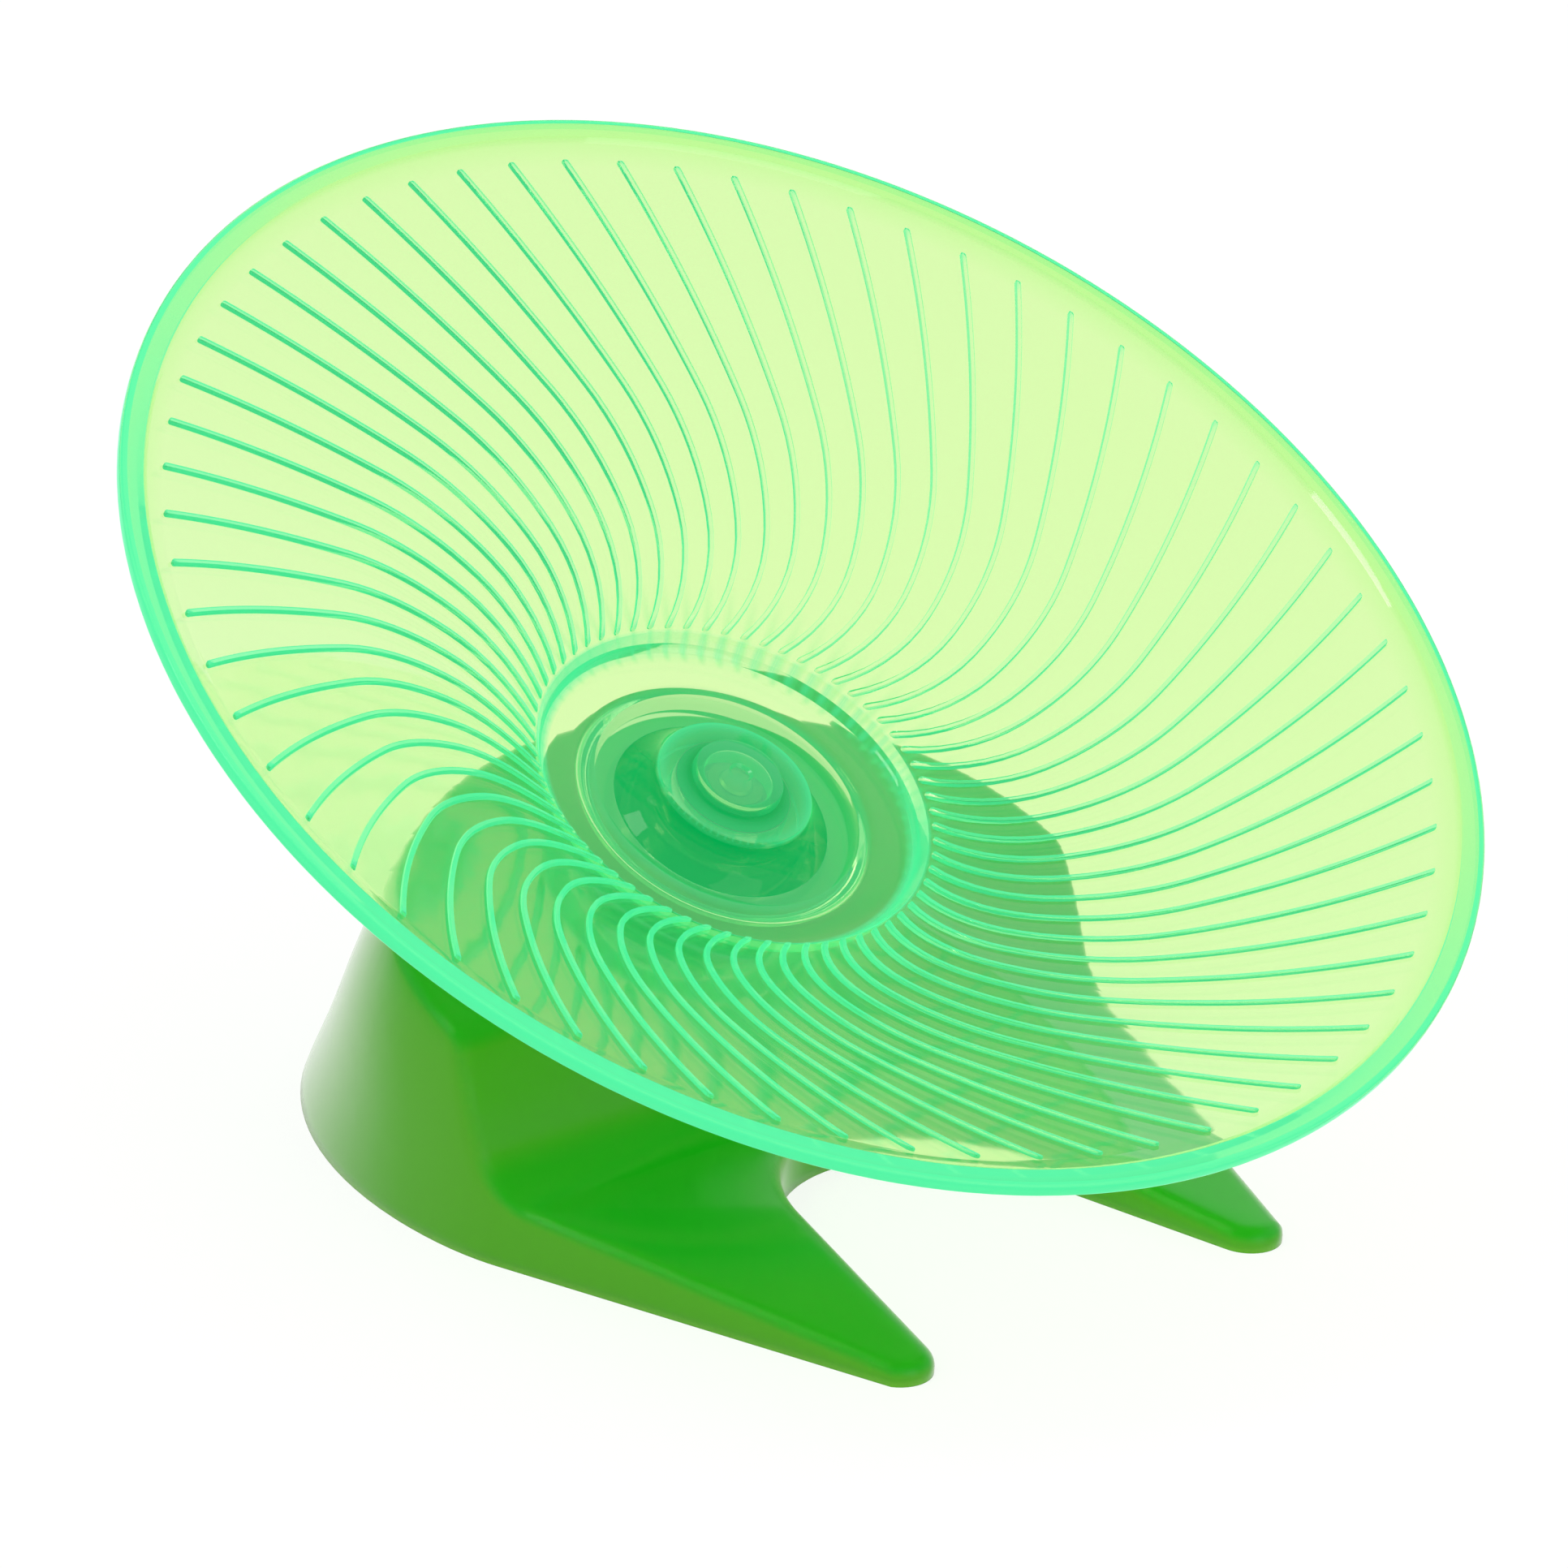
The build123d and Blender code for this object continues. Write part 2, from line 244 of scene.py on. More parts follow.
def dress(piece: bpy.types.Object, material: bpy.types.Material) -> None:
    """Give a piece one material on every face."""
    piece.data.materials.clear()
    piece.data.materials.append(material)


@dataclass(frozen=True)
class TranslucentPlastic:
    """Clear tinted moulding that glows blue-green at its ribs and edges, deep green at its hub; the
    glow is painted light, an emission standing in for the light that the fluorescent plastic gives off
    and carries to its edges.
    """

    sheet: Colour = (0.86, 0.965, 0.42, 1)
    warm_sheet: Colour = (0.89, 0.97, 0.5, 1)
    rim_sheet: Colour = (0.64, 0.955, 0.27, 1)
    # Colour of the glowing body, used both as its base colour and as the colour of its painted glow.
    glow: Colour = (0.09, 0.97, 0.41, 1)
    deep: Colour = (0.0, 0.44, 0.10, 1)
    shadow_tint: Colour = (0.62, 0.93, 0.5, 1)
    veil: float = 0.12
    edge_share: float = 0.92
    rib_share: float = 0.82
    hub_share: float = 0.84
    wall_share: float = 0.7
    rib_inner_side: float = 0.2
    rim_inner_side: float = 0.75
    roughness: float = 0.035
    scuffed_roughness: float = 0.09
    index: float = 1.5
    gloss: float = 0.1
    # Share of emission in the glowing body: a painted glow, not a lamp.
    painted_glow_share: float = 0.56
    ripple: float = 0.05
    ripple_depth: float = 0.5 * MM
    rib_slants: Point = (0.0, 0.45)
    rim_slants: Point = (0.27, 0.45)
    rim_fade_slants: Point = (0.4, 0.75)

    def material(self) -> bpy.types.Material:
        """Build the finish.

        Returns:
            The material.
        """
        made, bench = new_material("translucent_plastic")
        place = bench.place()
        hub = bench.mark(Mark.HUB)
        ring = bench.mark(Mark.RIM)
        sheet = bench.mix(bench.noise(place, 18, 2) * 0.5, self.sheet, self.warm_sheet)
        sheet = bench.mix(ring, sheet, self.rim_sheet)
        scuff = bench.smooth_step(bench.noise(place, 260, 4), 0.62, 0.86)
        body_colour = bench.mix(hub, self.glow, self.deep)
        skin = {
            "Roughness": self.roughness + scuff * (self.scuffed_roughness - self.roughness),
            "IOR": self.index,
            "Specular IOR Level": self.gloss,
            "Normal": bench.bump(bench.noise(place, 45, 2), self.ripple, self.ripple_depth),
        }
        clear = bench.node("ShaderNodeBsdfPrincipled", {}, {
            "Base Color": sheet,
            "Transmission Weight": 1.0,
            **skin,
        })
        # The glowing body: its emission is painted light, so the dish's ribs, edges and hub give off
        # light of their own.
        dense = bench.node("ShaderNodeBsdfPrincipled", {}, {
            "Base Color": bench.mix(self.painted_glow_share, body_colour, BLACK),
            "Emission Color": body_colour,
            "Emission Strength": self.painted_glow_share,
            **skin,
        })
        share = self.dense_share(bench, hub, ring)
        body = bench.node("ShaderNodeMixShader", {}, {0: share, 1: clear, 2: dense})
        shade = bench.node("ShaderNodeLightPath", {}, {}, output="Is Shadow Ray")
        passed = bench.node("ShaderNodeBsdfTransparent", {}, {"Color": self.shadow_tint})
        finish_tree(bench, bench.node("ShaderNodeMixShader", {}, {0: shade, 1: body, 2: passed}))
        return made

    def dense_share(self, bench: Bench, hub: Value, ring: Value) -> Value:
        """Share of the glowing body, whose glow is painted emission: high at ribs and rim where they
        slant, and at the hub.

        Args:
            bench: The material's bench.
            hub: The hub's mark.
            ring: The rim's mark: 1 glows only where it slants, 1.5 unless turned away, 2 always.

        Returns:
            The share of the dense shader.
        """
        slant = bench.slant()
        inner = bench.node("ShaderNodeNewGeometry", {}, {}, output="Backfacing")
        lit = bench.smooth_step(slant, *self.rib_slants)
        lit = lit.either(bench.mark(Mark.WALL) * self.wall_share)
        rib = bench.mark(Mark.EDGE) * self.rib_share * lit * (1 - inner * self.rib_inner_side)
        rounding = 1 - bench.smooth_step(ring, 1.6, 2.0)
        turned_away = bench.smooth_step(slant, *self.rim_fade_slants) * rounding
        rim = bench.smooth_step(slant + ring - 1, *self.rim_slants)
        rim = rim * (1 - turned_away) * (1 - inner * self.rim_inner_side)
        veiled = self.veil + rib.either(rim) * (self.edge_share - self.veil)
        return veiled.either(hub * self.hub_share)


@dataclass(frozen=True)
class OpaquePlastic:
    """Glossy solid green moulding with painted light: lighter along its narrow bottom edge as if lit
    from the floor below, yellower on faces that stand upright, and pale where its surface turns away
    from view, a painted glare.
    """

    body: Colour = (0.012, 0.40, 0.002, 1)
    deep: Colour = (0.004, 0.36, 0.001, 1)
    # Yellower green for faces that stand upright: painted light, because those faces are lit and
    # reflect the studio differently from the flat tops.
    upright: Colour = (0.08, 0.385, 0.006, 1)
    painted_low_light: Colour = (0.20, 0.60, 0.02, 1)
    roughness: float = 0.13
    worn_roughness: float = 0.22
    index: float = 1.5
    gloss: float = 0.25
    grain: float = 0.04
    # Lighter green for the bottom 1.1 mm: painted light, as if the narrow lower edge were lit from the
    # floor below.
    grain_depth: float = 0.5 * MM
    painted_low_light_height: float = 1.1 * MM
    painted_low_light_share: float = 0.8
    softness: float = 2.6 * MM
    # Pale colour mixed in where the surface turns away from view: a painted glare, the white studio's
    # reflection painted into the base colour.
    painted_glare: Colour = (0.66, 0.76, 0.58, 1)
    painted_glare_share: float = 0.6
    painted_glare_slants: Point = (0.42, 1.0)
    upright_to_flat: Point = (0.1, 0.75)

    def material(self) -> bpy.types.Material:
        """Build the finish.

        Returns:
            The material.
        """
        made, bench = new_material("opaque_plastic")
        place = bench.place()
        facing = bench.node("ShaderNodeNewGeometry", {}, {}, output="Normal")
        flat = bench.smooth_step(bench.upward(facing), *self.upright_to_flat)
        low = 1 - bench.smooth_step(bench.upward(place), 0.0, self.painted_low_light_height)
        # Painted glare: the base colour turns pale at grazing angles.
        painted_glare = bench.smooth_step(bench.slant(), *self.painted_glare_slants)
        colour = bench.mix(bench.noise(place, 22, 3), self.deep, self.body)
        # Painted light by facing: upright faces take the yellower green.
        colour = bench.mix(flat, self.upright, colour)
        # Painted bounce light: the colour turns lighter towards the bottom edge.
        colour = bench.mix(low * self.painted_low_light_share, colour, self.painted_low_light)
        colour = bench.mix(painted_glare * self.painted_glare_share, colour, self.painted_glare)
        wear = bench.smooth_step(bench.noise(place, 320, 5), 0.55, 0.8)
        rounded = bench.node("ShaderNodeBevel", {"samples": 6}, {"Radius": self.softness})
        grain = bench.bump(bench.noise(place, 90, 3), self.grain, self.grain_depth, rounded)
        shader = bench.node("ShaderNodeBsdfPrincipled", {}, {
            "Base Color": colour,
            "Roughness": self.roughness + wear * (self.worn_roughness - self.roughness),
            "IOR": self.index,
            "Specular IOR Level": self.gloss,
            "Normal": grain,
        })
        finish_tree(bench, shader)
        return made


@dataclass(frozen=True)
class Steel:
    """Bare steel with fine turning marks."""

    name: str
    colour: Colour
    roughness: float
    marks: float
    mark_depth: float = 0.02 * MM
    mark_colour: Colour = (0.36, 0.37, 0.39, 1)
    mark_share: float = 0.35
    mark_roughness: float = 0.12

    def material(self) -> bpy.types.Material:
        """Build the finish.

        Returns:
            The material.
        """
        made, bench = new_material(self.name)
        place = bench.place()
        grain = bench.noise(place, 1400, 3)
        shader = bench.node("ShaderNodeBsdfPrincipled", {}, {
            "Base Color": bench.mix(grain * self.mark_share, self.colour, self.mark_colour),
            "Metallic": 1.0,
            "Roughness": self.roughness + grain * self.mark_roughness,
            "Normal": bench.bump(grain, self.marks, self.mark_depth),
        })
        finish_tree(bench, shader)
        return made


@dataclass
class Corner:
    """Corner of a turned section: distance from the hub axis, place along it, and rounding."""

    reach: float
    place: float
    rounding: float = 0.0


def rounded_section(corners: list[Corner], steps: int) -> list[Point]:
    """Replace each rounded corner of an open section by points on its arc.

    Args:
        corners: The section's corners in order.
        steps: Steps along each arc.

    Returns:
        The points of the section.
    """
    points: list[Point] = []
    places = [Vector((corner.reach, corner.place)) for corner in corners]
    for index, corner in enumerate(corners):
        middle = places[index]
        if corner.rounding == 0 or index in (0, len(corners) - 1):
            points.append((middle.x, middle.y))
            continue
        before = (places[index - 1] - middle).normalized()
        after = (places[index + 1] - middle).normalized()
        half = before.angle(after) / 2
        start = middle + before * (corner.rounding / math.tan(half))
        end = middle + after * (corner.rounding / math.tan(half))
        centre = middle + (before + after).normalized() * (corner.rounding / math.sin(half))
        for step in range(steps + 1):
            spoke = (start - centre).slerp(end - centre, step / steps) * corner.rounding
            points.append(((centre + spoke).x, (centre + spoke).y))
    return points


@dataclass
class Saucer:
    """The translucent running dish, built about the hub axis and then tilted. Millimetres."""

    tilt: float = 28.0
    plane_height: float = 75.6
    rim_top: float = 2.2
    rim_thickness: float = 1.9
    rim_radius: float = 95.2
    outer_radius: float = 89.3
    inner_radius: float = 28.0
    cone_depth: float = 30.7
    bowl: float = 0.45
    wall: float = 1.9
    under_rings: int = 7
    pole: float = 0.05
    rib_count: int = 64
    rib_width: float = 0.76
    rib_height: float = 0.62
    rib_phase: float = 77.64
    rib_lean: float = 32.06
    rib_end_gap: float = 0.25
    rib_runs: tuple = ((33.0, 143.3), (18.4, 37.8), (15.8, 20.0))
    rib_stations: int = 30
    rib_end_steps: tuple = (0.0, 0.12, 0.4, 1.0)
    rib_tip: float = 0.05
    crosswise: tuple = ((-1.15, 0.0), (-1.0, 0.0), (-0.92, 0.75), (-0.7, 1.0),
                        (0.7, 1.0), (0.92, 0.75), (1.0, 0.0), (1.15, 0.0))
    gaps: tuple = (-0.5, -0.33)
    hub_floor: float = -33.4
    moat_floor: float = -36.1
    moat_inner: float = 15.3
    turret_top: float = -30.2
    turret_radius: float = 10.95
    turret_waist: float = 0.9
    turret_steps: int = 6
    crown_top: float = -28.4
    crown_dome: float = 0.12
    seat_top: float = -32.2
    seat_foot: float = -39.0
    pin_room_top: float = -30.0
    rounding_steps: int = 3
    hub_rounding_steps: int = 2
    weld: float = 0.002
    sharp: float = 38.0

    def frame(self) -> Matrix:
        """Find the place of the dish's own axes in the wheel.

        Returns:
            The place.
        """
        back = math.sin(math.radians(self.tilt)) * (2 * self.rim_top - self.rim_thickness) / 2
        turn = Matrix.Rotation(math.radians(self.tilt), 4, "X")
        return Matrix.Translation(Vector((0, back, self.plane_height)) * MM) @ turn

    def surface(self, reach: float) -> float:
        """Place of the running surface along the axis, deeper midway than a straight cone."""
        share = (self.outer_radius - reach) / (self.outer_radius - self.inner_radius)
        return -self.cone_depth * share - 4 * self.bowl * share * (1 - share)

    def rib_line(self) -> list[tuple[float, float, float, float]]:
        """Follow one rib from its outer to its inner end.

        Returns:
            Distance from the axis, angle about it, lean from the radius and share of full size,
            for each station.
        """
        total = sum(run for run, _ in self.rib_runs)
        cap = self.rib_width / 2
        ends = self.rib_end_steps
        stations = [-cap * (1 - end) for end in ends]
        stations += [total * step / self.rib_stations for step in range(1, self.rib_stations)]
        stations += [total + cap * (1 - end) for end in reversed(ends)]
        line = []
        for station in stations:
            on_path = min(max(station, 0), total)
            place, heading = self._along(on_path)
            place = place + heading * (station - on_path)
            beyond = max(-station, station - total, 0) / cap
            share = math.sqrt(max(1 - beyond ** 2, 0))
            lean = math.atan2(heading.x * place.y - heading.y * place.x, -heading.dot(place))
            line.append((place.length, math.atan2(place.y, place.x), lean, share))
        return line

    def _along(self, distance: float) -> tuple[Vector, Vector]:
        """Place and heading on a rib after a distance from its outer end.

        Args:
            distance: Distance along the rib.

        Returns:
            Place in the dish's plan, and heading.
        """
        place = Vector((self.outer_radius - self.rib_width / 2 - self.rib_end_gap, 0))
        angle = math.pi + math.radians(self.rib_lean)
        for run, bend in self.rib_runs:
            part = min(distance, run)
            centre = place + Vector((math.sin(angle), -math.cos(angle))) * bend
            turned = part / bend
            spoke = place - centre
            spoke.rotate(Matrix.Rotation(-turned, 2))
            place = centre + spoke
            angle -= turned
            distance -= part
            if distance <= 0:
                break
        return place, Vector((math.cos(angle), math.sin(angle)))

    def ribbed_sector(self, mesh: bmesh.types.BMesh) -> None:
        """Lay one rib and half of the gaps beside it as a strip from the rim to the hub.

        Args:
            mesh: The mesh that receives the strip.
        """
        line = self.rib_line()
        line.insert(0, (self.outer_radius, line[0][1], line[0][2], 0.0))
        line.append((self.inner_radius, line[-1][1], line[-1][2], 0.0))
        pitch = 2 * math.pi / self.rib_count
        beside = len(self.gaps)
        columns = len(self.crosswise) + 2 * beside
        bmesh.ops.create_grid(mesh, x_segments=columns - 1, y_segments=len(line) - 1, size=0.5)
        for mark in Mark:
            mesh.verts.layers.float.new(mark.value)
        edge = mesh.verts.layers.float[Mark.EDGE.value]
        wall = mesh.verts.layers.float[Mark.WALL.value]
        for vert in mesh.verts:
            column = round((vert.co.x + 0.5) * (columns - 1))
            reach, angle, lean, share = line[round((vert.co.y + 0.5) * (len(line) - 1))]
            half = self.rib_width / 2 / (reach * math.cos(lean)) * max(share, self.rib_tip)
            rise = 0.0
            if column < beside:
                turn = self.gaps[column] * pitch
            elif column >= columns - beside:
                turn = -self.gaps[columns - 1 - column] * pitch
            else:
                across, height = self.crosswise[column - beside]
                turn = across * half
                rise = self.rib_height * share * height
                vert[edge] = share if abs(across) <= 1 else 0.0
                vert[wall] = 1.0 if abs(across) > 0.9 else 0.0
            turn += angle
            height = self.surface(reach) + rise
            vert.co = Vector((reach * math.cos(turn), reach * math.sin(turn), height))

    def under_section(self) -> list[Point]:
        """Draw the section over the rim, under the cone and into the bearing's seat.

        Returns:
            Points from the outer rib ends to the axis.
        """
        slope = math.atan2(self.cone_depth, self.outer_radius - self.inner_radius)
        drop = self.wall / math.cos(slope)
        low = self.rim_top - self.rim_thickness
        rim = [
            Corner(self.outer_radius, 0),
            Corner(self.outer_radius + 2.0, 1.0, 0.25),
            Corner(self.outer_radius + 2.7, 1.7, 0.25),
            Corner(self.rim_radius - 1.0, self.rim_top - 0.156),
            Corner(self.rim_radius, self.rim_top, 0.5),
            Corner(self.rim_radius, low, 0.5),
            Corner(self.rim_radius - 1.0, low - 0.208),
            Corner(self.rim_radius - 2.4, low - 0.5, 0.4),
            Corner(self.outer_radius, -drop, 0.4),
            Corner(self.inner_radius, self.surface(self.inner_radius) - drop),
        ]
        points = rounded_section(rim, self.rounding_steps)
        last = points.pop()
        start = points[-1][0]
        for step in range(1, self.under_rings):
            reach = start + (last[0] - start) * step / self.under_rings
            points.append((reach, self.surface(reach) - drop))
        step_under, moat_under = self.hub_floor - self.wall, self.moat_floor - self.wall
        hub = [
            Corner(*last),
            Corner(27.9, step_under, 1.2),
            Corner(25.6, step_under),
            Corner(22.6, step_under),
            Corner(20.7, step_under, 1.3),
            Corner(19.75, moat_under, 1.3),
            Corner(9.8, moat_under, 0.4),
            Corner(9.8, self.seat_foot, 0.3),
            Corner(8.01, self.seat_foot),
            Corner(8.01, self.seat_top, 0.1),
            Corner(4.8, self.seat_top, 0.2),
            Corner(4.8, self.pin_room_top, 0.3),
            Corner(self.pole, self.pin_room_top),
        ]
        return points[1:] + rounded_section(hub, self.hub_rounding_steps)

    def turret_flank(self) -> list[Corner]:
        """Draw the turret's waisted side.

        Returns:
            Corners from the moat up to the turret's top.
        """
        foot = Vector((self.moat_inner, self.moat_floor))
        top = Vector((self.turret_radius, self.turret_top))
        roundings = [0.3] + [0.0] * (self.turret_steps - 1) + [0.5]
        flank = []
        for step, rounding in enumerate(roundings):
            share = step / self.turret_steps
            bow = self.turret_waist * 4 * share * (1 - share)
            point = foot.lerp(top, share)
            flank.append(Corner(point.x - bow, point.y, rounding))
        return flank

    def hub_section(self) -> list[Point]:
        """Draw the section over the hub floor, moat, turret and crown.

        Returns:
            Points from the inner rib ends to the axis.
        """
        corners = [
            Corner(self.inner_radius, -self.cone_depth),
            Corner(26.7, self.hub_floor, 1.8),
            Corner(24.6, self.hub_floor),
            Corner(21.6, self.hub_floor),
            Corner(18.9, self.hub_floor, 0.5),
            Corner(18.5, self.moat_floor, 1.2),
            *self.turret_flank(),
            Corner(6.35, self.turret_top, 0.35),
            Corner(6.3, self.crown_top, 0.6),
            Corner(3.2, self.crown_top + self.crown_dome),
            Corner(1.7, self.crown_top + self.crown_dome, 0.1),
            Corner(1.3, self.crown_top - 0.25, 0.1),
            Corner(self.pole, self.crown_top - 0.3),
        ]
        return rounded_section(corners, self.hub_rounding_steps)[1:]

    @staticmethod
    def carry_ring(mesh: bmesh.types.BMesh, ring: list, start: Point,
                   section: list[Point]) -> None:
        """Carry an open ring of edges along a section and close it on the axis.

        Args:
            mesh: The mesh.
            ring: Edges of the ring.
            start: Distance from the axis and place of the ring.
            section: Points that the ring is carried through.
        """
        reach, place = start
        edges = ring
        for next_reach, next_place in section:
            made = bmesh.ops.extrude_edge_only(mesh, edges=edges)["geom"]
            verts = [item for item in made if isinstance(item, bmesh.types.BMVert)]
            lines = [item for item in made if isinstance(item, bmesh.types.BMEdge)]
            edges = [item for item in lines if item.is_boundary]
            grow = next_reach / reach
            bmesh.ops.scale(mesh, vec=(grow, grow, 1), verts=verts)
            bmesh.ops.translate(mesh, vec=(0, 0, next_place - place), verts=verts)
            reach, place = next_reach, next_place
        bmesh.ops.pointmerge(mesh, verts=verts, merge_co=(0, 0, place))

    def ribbed_cone(self, mesh: bmesh.types.BMesh) -> None:
        """Lay one sector and double it until the running surface is whole.

        Args:
            mesh: The mesh that receives the surface.
        """
        self.ribbed_sector(mesh)
        copies = 1
        while copies < self.rib_count:
            twin = bmesh.ops.duplicate(mesh, geom=mesh.verts[:] + mesh.edges[:] + mesh.faces[:])
            verts = [item for item in twin["geom"] if isinstance(item, bmesh.types.BMVert)]
            turn = Matrix.Rotation(2 * math.pi * copies / self.rib_count, 3, "Z")
            bmesh.ops.rotate(mesh, cent=(0, 0, 0), matrix=turn, verts=verts)
            copies *= 2
        bmesh.ops.remove_doubles(mesh, verts=mesh.verts, dist=self.weld)

    def build(self) -> bpy.types.Object:
        """Model the dish as one closed skin.

        Returns:
            The dish.
        """
        mesh = bmesh.new()
        self.ribbed_cone(mesh)
        border = [item for item in mesh.edges if item.is_boundary]
        middle = (self.outer_radius + self.inner_radius) / 2
        outer = [item for item in border if item.verts[0].co.xy.length > middle]
        inner = [item for item in border if item.verts[0].co.xy.length < middle]
        self.carry_ring(mesh, outer, (self.outer_radius, 0), self.under_section())
        self.carry_ring(mesh, inner, (self.inner_radius, -self.cone_depth), self.hub_section())
        bmesh.ops.recalc_face_normals(mesh, faces=mesh.faces)
        self.mark_edges(mesh)
        phase = Matrix.Rotation(math.radians(self.rib_phase), 3, "Z")
        bmesh.ops.rotate(mesh, cent=(0, 0, 0), matrix=phase, verts=mesh.verts)
        bmesh.ops.scale(mesh, vec=(MM, MM, MM), verts=mesh.verts)
        bmesh.ops.transform(mesh, matrix=self.frame(), verts=mesh.verts)
        piece = finished_piece(mesh, "saucer_moulding", self.sharp)
        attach(piece, Body.SAUCER.value)
        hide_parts("saucer")
        return piece

    def mark_edges(self, mesh: bmesh.types.BMesh) -> None:
        """Store how strongly the rim, the hub's step and the turret show the deeper colours.

        Args:
            mesh: The dish's mesh, upright about its axis.
        """
        marks = {mark: mesh.verts.layers.float[mark.value] for mark in Mark}
        for vert in mesh.verts:
            for mark, value in self.marks_at(vert.co.xy.length, vert.co.z).items():
                vert[marks[mark]] = value

    def marks_at(self, reach: float, height: float) -> dict[Mark, float]:
        """Give the marks at one place of the dish's section.

        Args:
            reach: Distance from the axis.
            height: Place along the axis.

        Returns:
            The marks that differ from what the ribs left there.
        """
        if reach > self.rim_radius - 0.6:
            top_rounding = reach < self.rim_radius - 0.02 and height > 1.0
            return {Mark.RIM: 1.5 if top_rounding else 2.0}
        if reach > self.outer_radius + 2.5:
            return {Mark.RIM: 1.0}
        if reach < 7 and height > self.turret_top + 0.1:
            return {Mark.HUB: 0.45, Mark.EDGE: 0.5}
        # A narrow ring of painted glow along the turret's top rounding.
        if abs(reach - 10.8) < 0.35 and height > self.turret_top - 0.6:
            return {Mark.HUB: 0.35, Mark.EDGE: 1.0}
        if reach < 15.4 and height > self.moat_floor - 0.1:
            return {Mark.HUB: 1.0}
        if reach < 18.0:
            return {Mark.HUB: 0.35}
        if reach < 21.0:
            return {Mark.HUB: 0.4}
        if self.inner_radius - 1.9 < reach < self.inner_radius + 0.05:
            return {Mark.EDGE: 0.9}
        return {}


def finished_piece(mesh: bmesh.types.BMesh, name: str, sharp: float) -> bpy.types.Object:
    """Turn a bmesh into a shaded object of the scene.

    Args:
        mesh: The mesh, freed here.
        name: The piece's name.
        sharp: Angle in degrees above which an edge stays sharp.

    Returns:
        The object.
    """
    for face in mesh.faces:
        face.smooth = True
    for edge in mesh.edges:
        edge.smooth = edge.calc_face_angle(0) < math.radians(sharp)
    data = bpy.data.meshes.new(name)
    mesh.to_mesh(data)
    mesh.free()
    piece = bpy.data.objects.new(name, data)
    bpy.context.scene.collection.objects.link(piece)
    LOG.info("%s: %d vertices, %d faces", name, len(data.vertices), len(data.polygons))
    return piece


@dataclass
class Stand:
    """The opaque stand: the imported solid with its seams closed, its rounded edges shaded smooth."""

    node: str = "stand"
    sharp: float = 28.0
    weld: float = 0.002 * MM

    def build(self) -> bpy.types.Object:
        """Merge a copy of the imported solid.

        Returns:
            The stand.
        """
        mesh = bmesh.new()
        mesh.from_mesh(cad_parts[self.node].data)
        bmesh.ops.remove_doubles(mesh, verts=mesh.verts, dist=self.weld)
        piece = finished_piece(mesh, "stand_moulding", self.sharp)
        normals = piece.data.attributes.get("custom_normal")
        if normals:
            piece.data.attributes.remove(normals)
        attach(piece, Body.STAND.value)
        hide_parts(self.node)
        return piece


@dataclass
class Bearing:
    """The parts on the axle, kept as packed and given their finishes."""

    ground: tuple = ("axle_pin", "bearing_outer_ring", "bearing_inner_ring")
    pressed: tuple = ("axle_spacer", "axle_washer", "axle_clip", "bearing_cage_upper",
                      "bearing_cage_lower", "bearing_cage_rivets", "bearing_shield_upper",
                      "bearing_shield_lower")
    polished: tuple = ("bearing_balls",)
    moulded: tuple = ("bearing_retainer",)
    ground_steel: Steel = Steel("ground_steel", (0.42, 0.43, 0.45, 1), 0.3, 0.3)
    pressed_steel: Steel = Steel("pressed_steel", (0.34, 0.35, 0.36, 1), 0.42, 0.5)
    ball_steel: Steel = Steel("ball_steel", (0.75, 0.75, 0.77, 1), 0.05, 0.05)

    def dress_all(self, plastic: bpy.types.Material) -> None:
        """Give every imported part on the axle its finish.

        Args:
            plastic: Finish of the moulded retainer.
        """
        finishes = (
            (self.ground, self.ground_steel.material()),
            (self.pressed, self.pressed_steel.material()),
            (self.polished, self.ball_steel.material()),
            (self.moulded, plastic),
        )
        for names, finish in finishes:
            for name in names:
                dress(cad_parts[name], finish)
                LOG.info("%s: dressed", name)


@dataclass(frozen=True)
class Lamp:
    """A soft square lamp that faces the wheel. Metres and watts."""

    name: str
    place: tuple
    size: float
    power: float


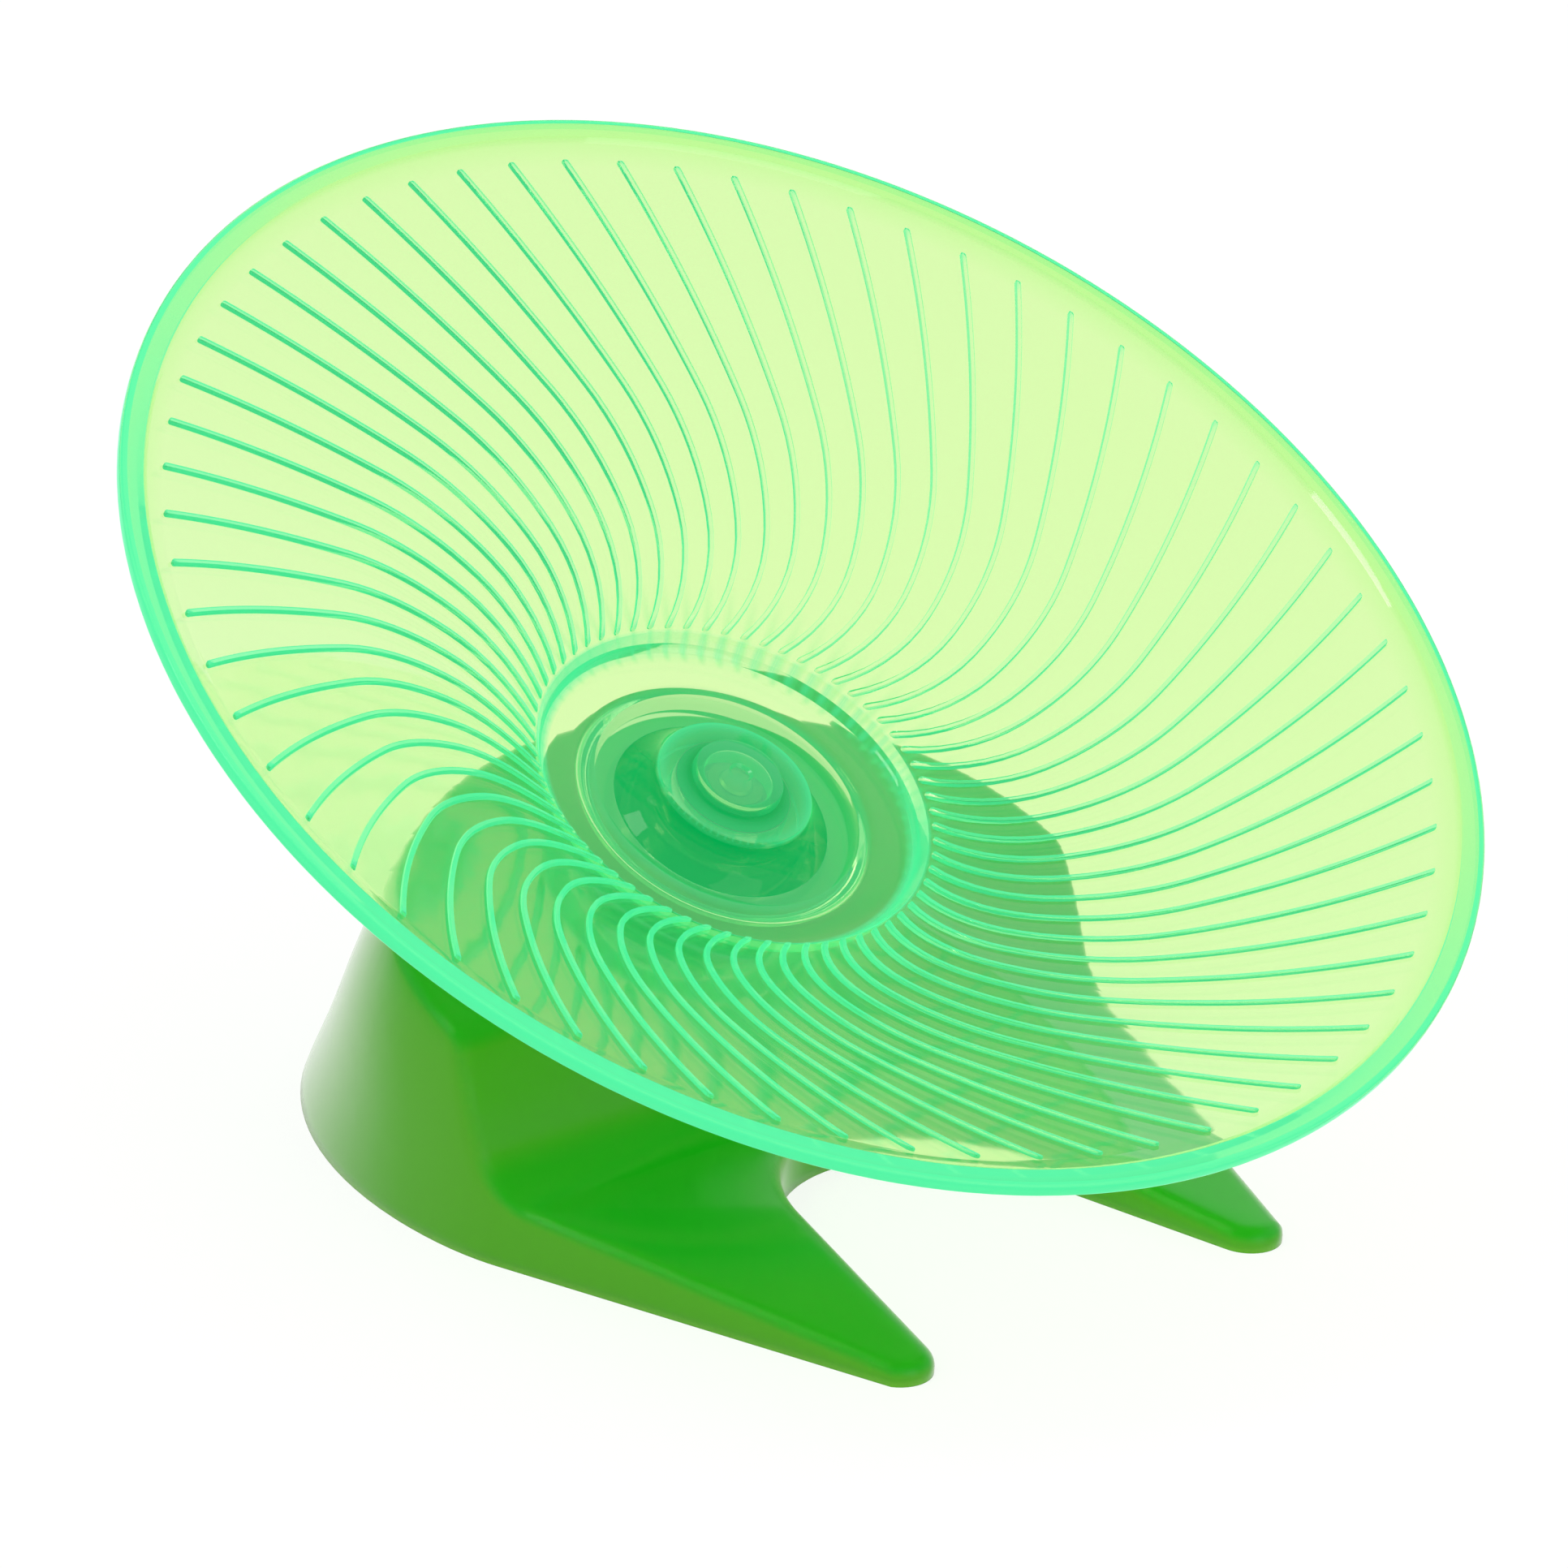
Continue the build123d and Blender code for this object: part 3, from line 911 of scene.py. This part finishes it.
@dataclass
class Studio:
    """Floor, world, lamps and camera."""

    floor_size: float = 12.0
    floor_colour: Colour = (0.88, 0.88, 0.88, 1)
    floor_shadow: Colour = (0.2, 0.2, 0.2, 1)
    floor_light: float = 0.83
    world_light: float = 0.84
    lamps: tuple = (Lamp("key", (-0.5, 0.19, 0.9), 0.3, 1.6), Lamp("fill", (0.1, -1.0, 0.5), 0.6, 1.4))
    lamp_aim: tuple = (0, 0, 0.04)
    camera_place: tuple = (-521.86, -559.75, 369.67)
    camera_view: tuple = (0.62706, 0.67896, -0.38186)
    camera_roll: float = -3.0
    lens: float = 143.8
    sensor: float = 36.0
    nearest: float = 0.01

    def seen_directly(self, bench: Bench) -> Value:
        """Tell rays that see a surface directly, in gloss or through clear plastic.

        Args:
            bench: The tree's bench.

        Returns:
            1 for such rays, 0 for the others.
        """
        path = bench.node("ShaderNodeLightPath", {}, {}, output="Is Camera Ray")
        outputs = path.socket.node.outputs
        glossy = Value(bench, outputs["Is Glossy Ray"])
        through = Value(bench, outputs["Is Transmission Ray"])
        return path.either(glossy).either(through)

    def floor(self) -> None:
        """Lay the pale floor, which looks white and keeps a soft shadow."""
        mesh = bmesh.new()
        bmesh.ops.create_grid(mesh, x_segments=1, y_segments=1, size=self.floor_size / 2)
        piece = finished_piece(mesh, "floor", 30)
        made, bench = new_material("pale_floor")
        seen = self.seen_directly(bench)
        matt = bench.node("ShaderNodeBsdfDiffuse", {}, {"Color": self.floor_colour})
        shadow = bench.node("ShaderNodeBsdfDiffuse", {}, {"Color": self.floor_shadow})
        light = {"Color": WHITE, "Strength": self.floor_light}
        glow = bench.node("ShaderNodeEmission", {}, light)
        white = bench.node("ShaderNodeAddShader", {}, {0: shadow, 1: glow})
        finish_tree(bench, bench.node("ShaderNodeMixShader", {}, {0: seen, 1: matt, 2: white}))
        dress(piece, made)

    def world(self) -> None:
        """Surround the wheel with an even white studio."""
        made = bpy.data.worlds.new("studio")
        made.use_nodes = True
        bpy.context.scene.world = made
        bench = Bench(made.node_tree)
        seen = self.seen_directly(bench)
        strength = self.world_light + seen * (1 - self.world_light)
        sky = bench.node("ShaderNodeBackground", {}, {"Color": WHITE, "Strength": strength})
        finish_tree(bench, sky, "ShaderNodeOutputWorld")

    def hang(self, lamp: Lamp) -> None:
        """Hang one lamp.

        Args:
            lamp: The lamp.
        """
        data = bpy.data.lights.new(lamp.name, "AREA")
        data.shape = "SQUARE"
        data.size = lamp.size
        data.energy = lamp.power
        hung = bpy.data.objects.new(lamp.name, data)
        hung.location = lamp.place
        facing = Vector(self.lamp_aim) - Vector(lamp.place)
        hung.rotation_euler = facing.to_track_quat("-Z", "Y").to_euler()
        bpy.context.scene.collection.objects.link(hung)

    def camera(self) -> None:
        """Set the camera as the photograph was taken."""
        data = bpy.data.cameras.new("camera")
        data.lens = self.lens
        data.sensor_width = self.sensor
        data.clip_start = self.nearest
        camera = bpy.data.objects.new("camera", data)
        forward = Vector(self.camera_view).normalized()
        level = forward.to_track_quat("-Z", "Y").to_matrix()
        roll = Matrix.Rotation(math.radians(self.camera_roll), 3, forward)
        turned = (roll @ level).to_4x4()
        camera.matrix_world = Matrix.Translation(Vector(self.camera_place) * MM) @ turned
        bpy.context.scene.collection.objects.link(camera)
        bpy.context.scene.camera = camera

    def build(self) -> None:
        """Set up the whole studio."""
        self.floor()
        self.world()
        for lamp in self.lamps:
            self.hang(lamp)
        self.camera()
        bpy.context.scene.view_settings.view_transform = "Standard"


def main() -> None:
    """Build and dress the wheel and its studio."""
    logging.basicConfig(level=logging.INFO, format="%(message)s")
    Studio().build()
    dress(Saucer().build(), TranslucentPlastic().material())
    green = OpaquePlastic().material()
    dress(Stand().build(), green)
    Bearing().dress_all(green)


if __name__ == "__main__":
    main()
